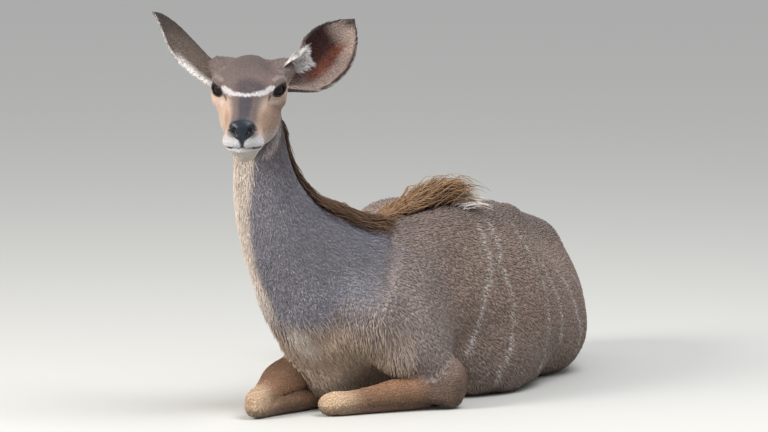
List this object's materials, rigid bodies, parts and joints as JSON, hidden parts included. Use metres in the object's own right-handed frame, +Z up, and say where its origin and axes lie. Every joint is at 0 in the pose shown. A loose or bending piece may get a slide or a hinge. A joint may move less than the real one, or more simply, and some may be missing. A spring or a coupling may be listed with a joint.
{
  "type": "lying greater kudu cow model",
  "caption": "Life-size model of a female greater kudu lying on folded legs, neck up and head turned to one side, with large cupped ears, a neck mane and a crest on the withers",
  "frame": {"origin": "on the ground under the middle of the model's bounding box", "axes": "+X is the animal's left, +Y runs back from the head along the body, +Z is up"},
  "size_m": [0.702, 1.6196, 0.9094],
  "materials": {
    "body_coat": "short fawn-brown coat with thin white stripes",
    "neck_coat": "short blue-grey coat with a dark mane",
    "face_coat": "short tan coat with white marks",
    "ear_coat": "thin short coat",
    "leg_coat": "short tawny coat",
    "hoof": "dark smooth horn",
    "eye": "wet black-brown eye"
  },
  "bodies": {
    "root": {"ear_left": "ear_coat", "ear_right": "ear_coat", "eye_left": "eye", "eye_right": "eye", "foreleg_left": "leg_coat", "foreleg_right": "leg_coat", "head": "face_coat", "hindleg_left": "leg_coat", "hindleg_right": "leg_coat", "hoof_fore_left_inner": "hoof", "hoof_fore_left_outer": "hoof", "hoof_fore_right_inner": "hoof", "hoof_fore_right_outer": "hoof", "hoof_hind_left_inner": "hoof", "hoof_hind_left_outer": "hoof", "hoof_hind_right_inner": "hoof", "hoof_hind_right_outer": "hoof", "neck": "neck_coat", "tail": "body_coat", "torso": "body_coat"}
  },
  "joints": []
}
